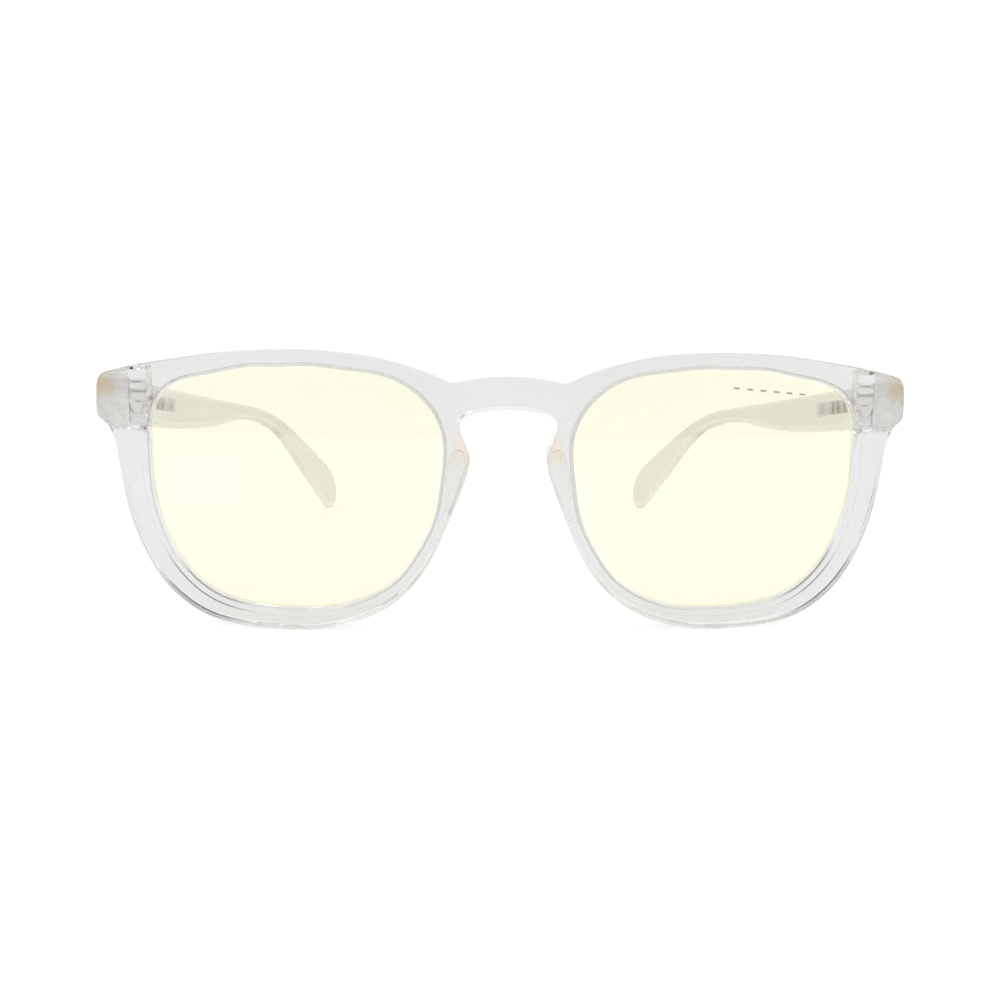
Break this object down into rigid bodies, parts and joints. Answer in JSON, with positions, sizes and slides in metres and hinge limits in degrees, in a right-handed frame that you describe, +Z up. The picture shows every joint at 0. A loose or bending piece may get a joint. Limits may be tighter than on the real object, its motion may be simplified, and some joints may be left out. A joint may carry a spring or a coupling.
{
  "type": "blue light glasses",
  "caption": "Clear keyhole-bridge plastic glasses with pale yellow tinted lenses and temples that fold on barrel hinges.",
  "frame": {"origin": "on the surface the open glasses stand on, below the middle of the overall box", "axes": "+X to the wearer's left, the front looks along -Y, the temples run back along +Y, +Z up"},
  "size_m": [0.145, 0.1372, 0.0489],
  "materials": {
    "frame_plastic": "clear, polished",
    "temple_plastic": "clear, polished",
    "pad_plastic": "clear, slightly warm, polished",
    "lens_yellow": "pale yellow tint, polished",
    "hinge_metal": "bright nickel silver",
    "screw_metal": "polished steel"
  },
  "bodies": {
    "front": {"frame_front": "frame_plastic", "left_lens": "lens_yellow", "left_nose_pad": "pad_plastic", "left_hinge_front_leaf": "hinge_metal", "left_hinge_screw": "screw_metal", "right_lens": "lens_yellow", "right_nose_pad": "pad_plastic", "right_hinge_front_leaf": "hinge_metal", "right_hinge_screw": "screw_metal"},
    "left_temple_arm": {"left_temple": "temple_plastic", "left_hinge_temple_leaf": "hinge_metal"},
    "right_temple_arm": {"right_temple": "temple_plastic", "right_hinge_temple_leaf": "hinge_metal"}
  },
  "joints": [
    {"name": "left_temple_fold", "type": "hinge", "parent": "front", "child": "left_temple_arm", "pos_m": [0.0648, -0.0541, 0.0399], "axis": [0, 0, 1], "range_deg": [0, 81]},
    {"name": "right_temple_fold", "type": "hinge", "parent": "front", "child": "right_temple_arm", "pos_m": [-0.0648, -0.0541, 0.0399], "axis": [0, 0, -1], "range_deg": [0, 74]}
  ]
}
